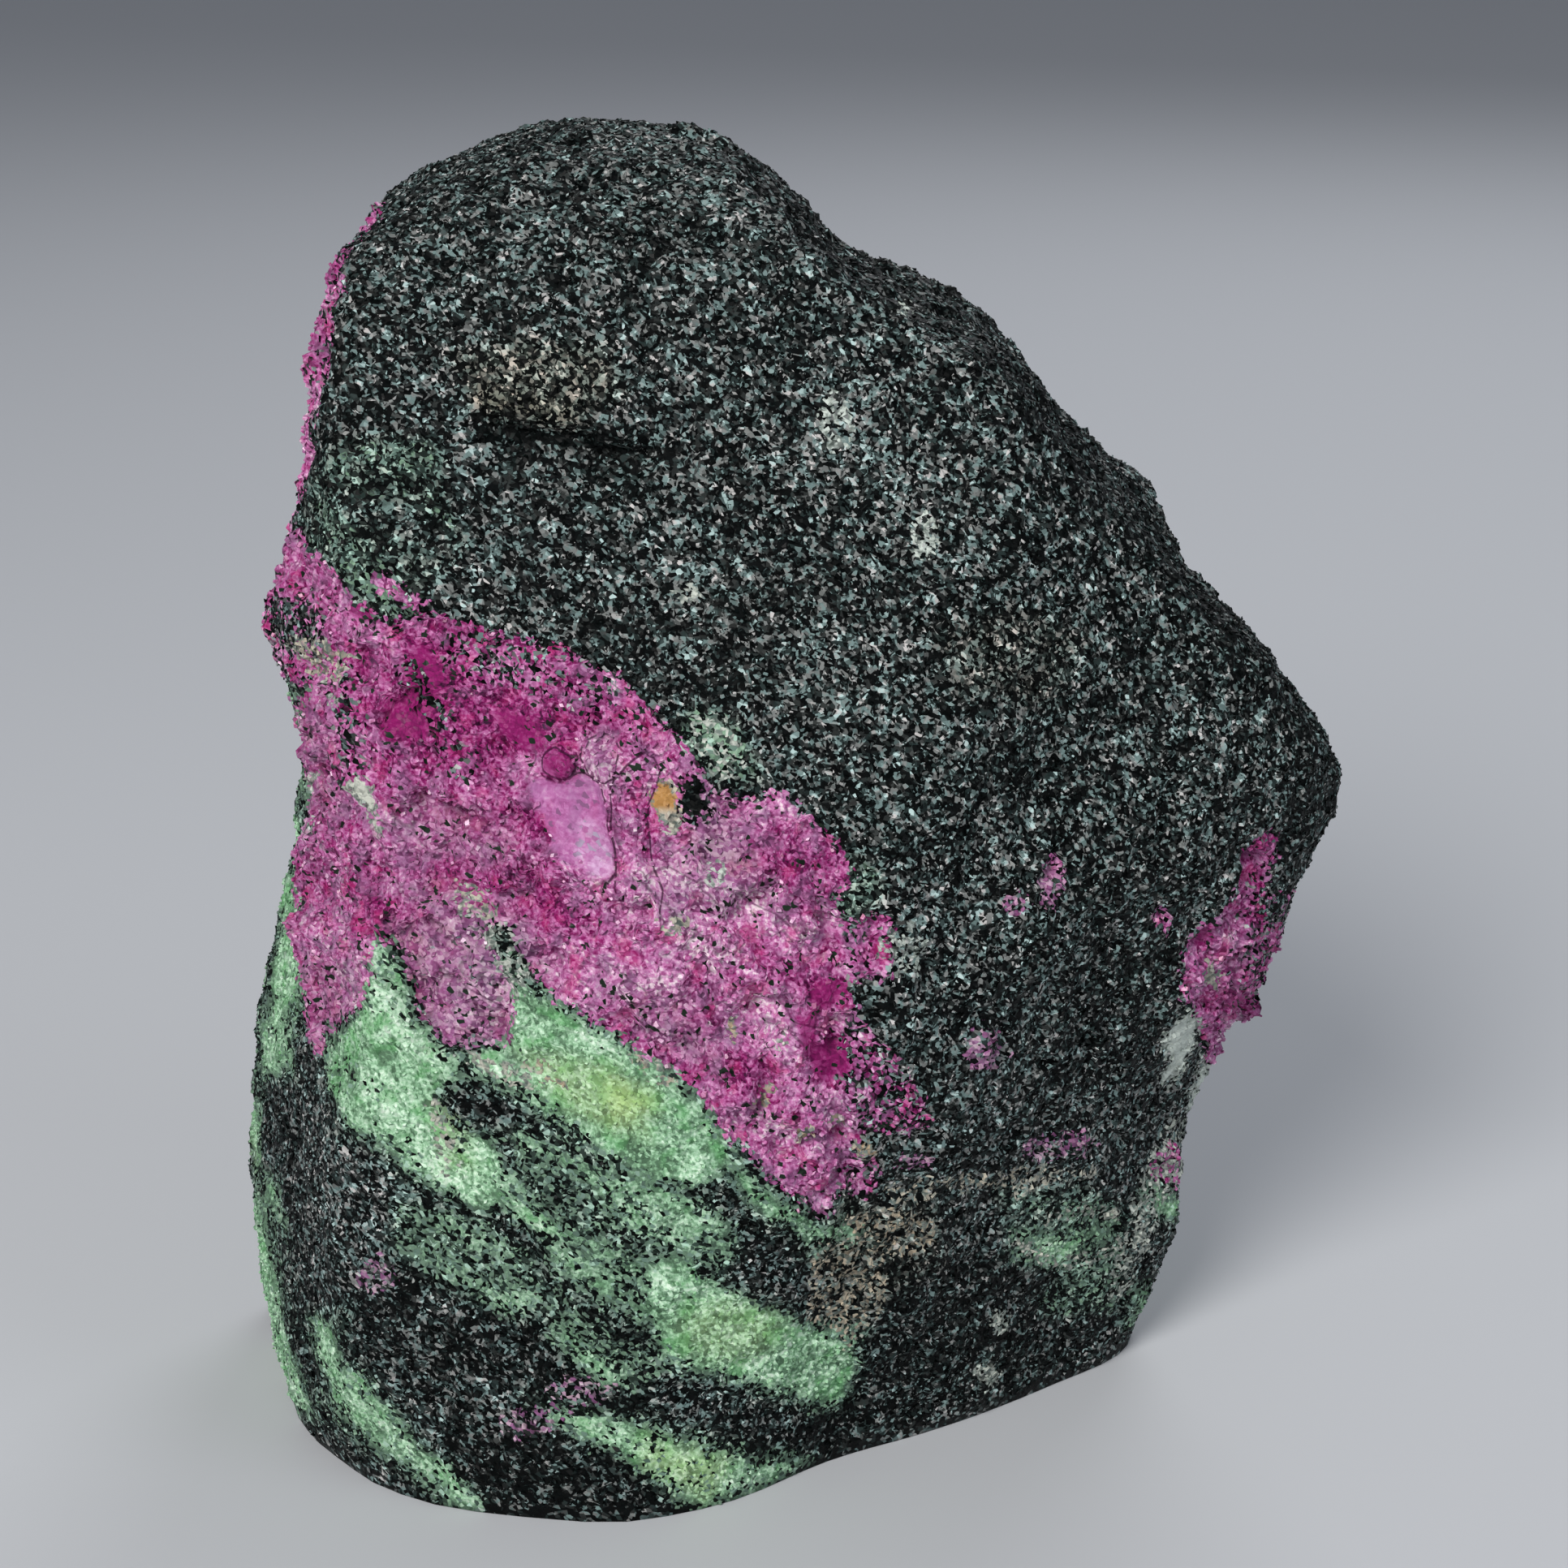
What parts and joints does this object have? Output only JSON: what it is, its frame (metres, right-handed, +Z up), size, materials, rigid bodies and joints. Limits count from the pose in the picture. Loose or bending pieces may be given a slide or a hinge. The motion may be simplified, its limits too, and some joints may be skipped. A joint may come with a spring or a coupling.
{
  "type": "ruby in zoisite specimen",
  "caption": "Standing lump of rough rock with a flat foot: black amphibole skin over a slanting lens of pink ruby and banded green zoisite.",
  "frame": {"origin": "middle of the bounding box, on the flat foot that the stone stands on", "axes": "+Z up, the tallest way; -Y towards the side that shows the ruby; +X to the right of that side; Y is the thinnest way"},
  "size_m": [0.0868, 0.0568, 0.1001],
  "materials": {
    "stone": "rough broken grain: black amphibole, magenta ruby and pale green zoisite"
  },
  "bodies": {
    "root": {"stone": "stone"}
  },
  "joints": []
}
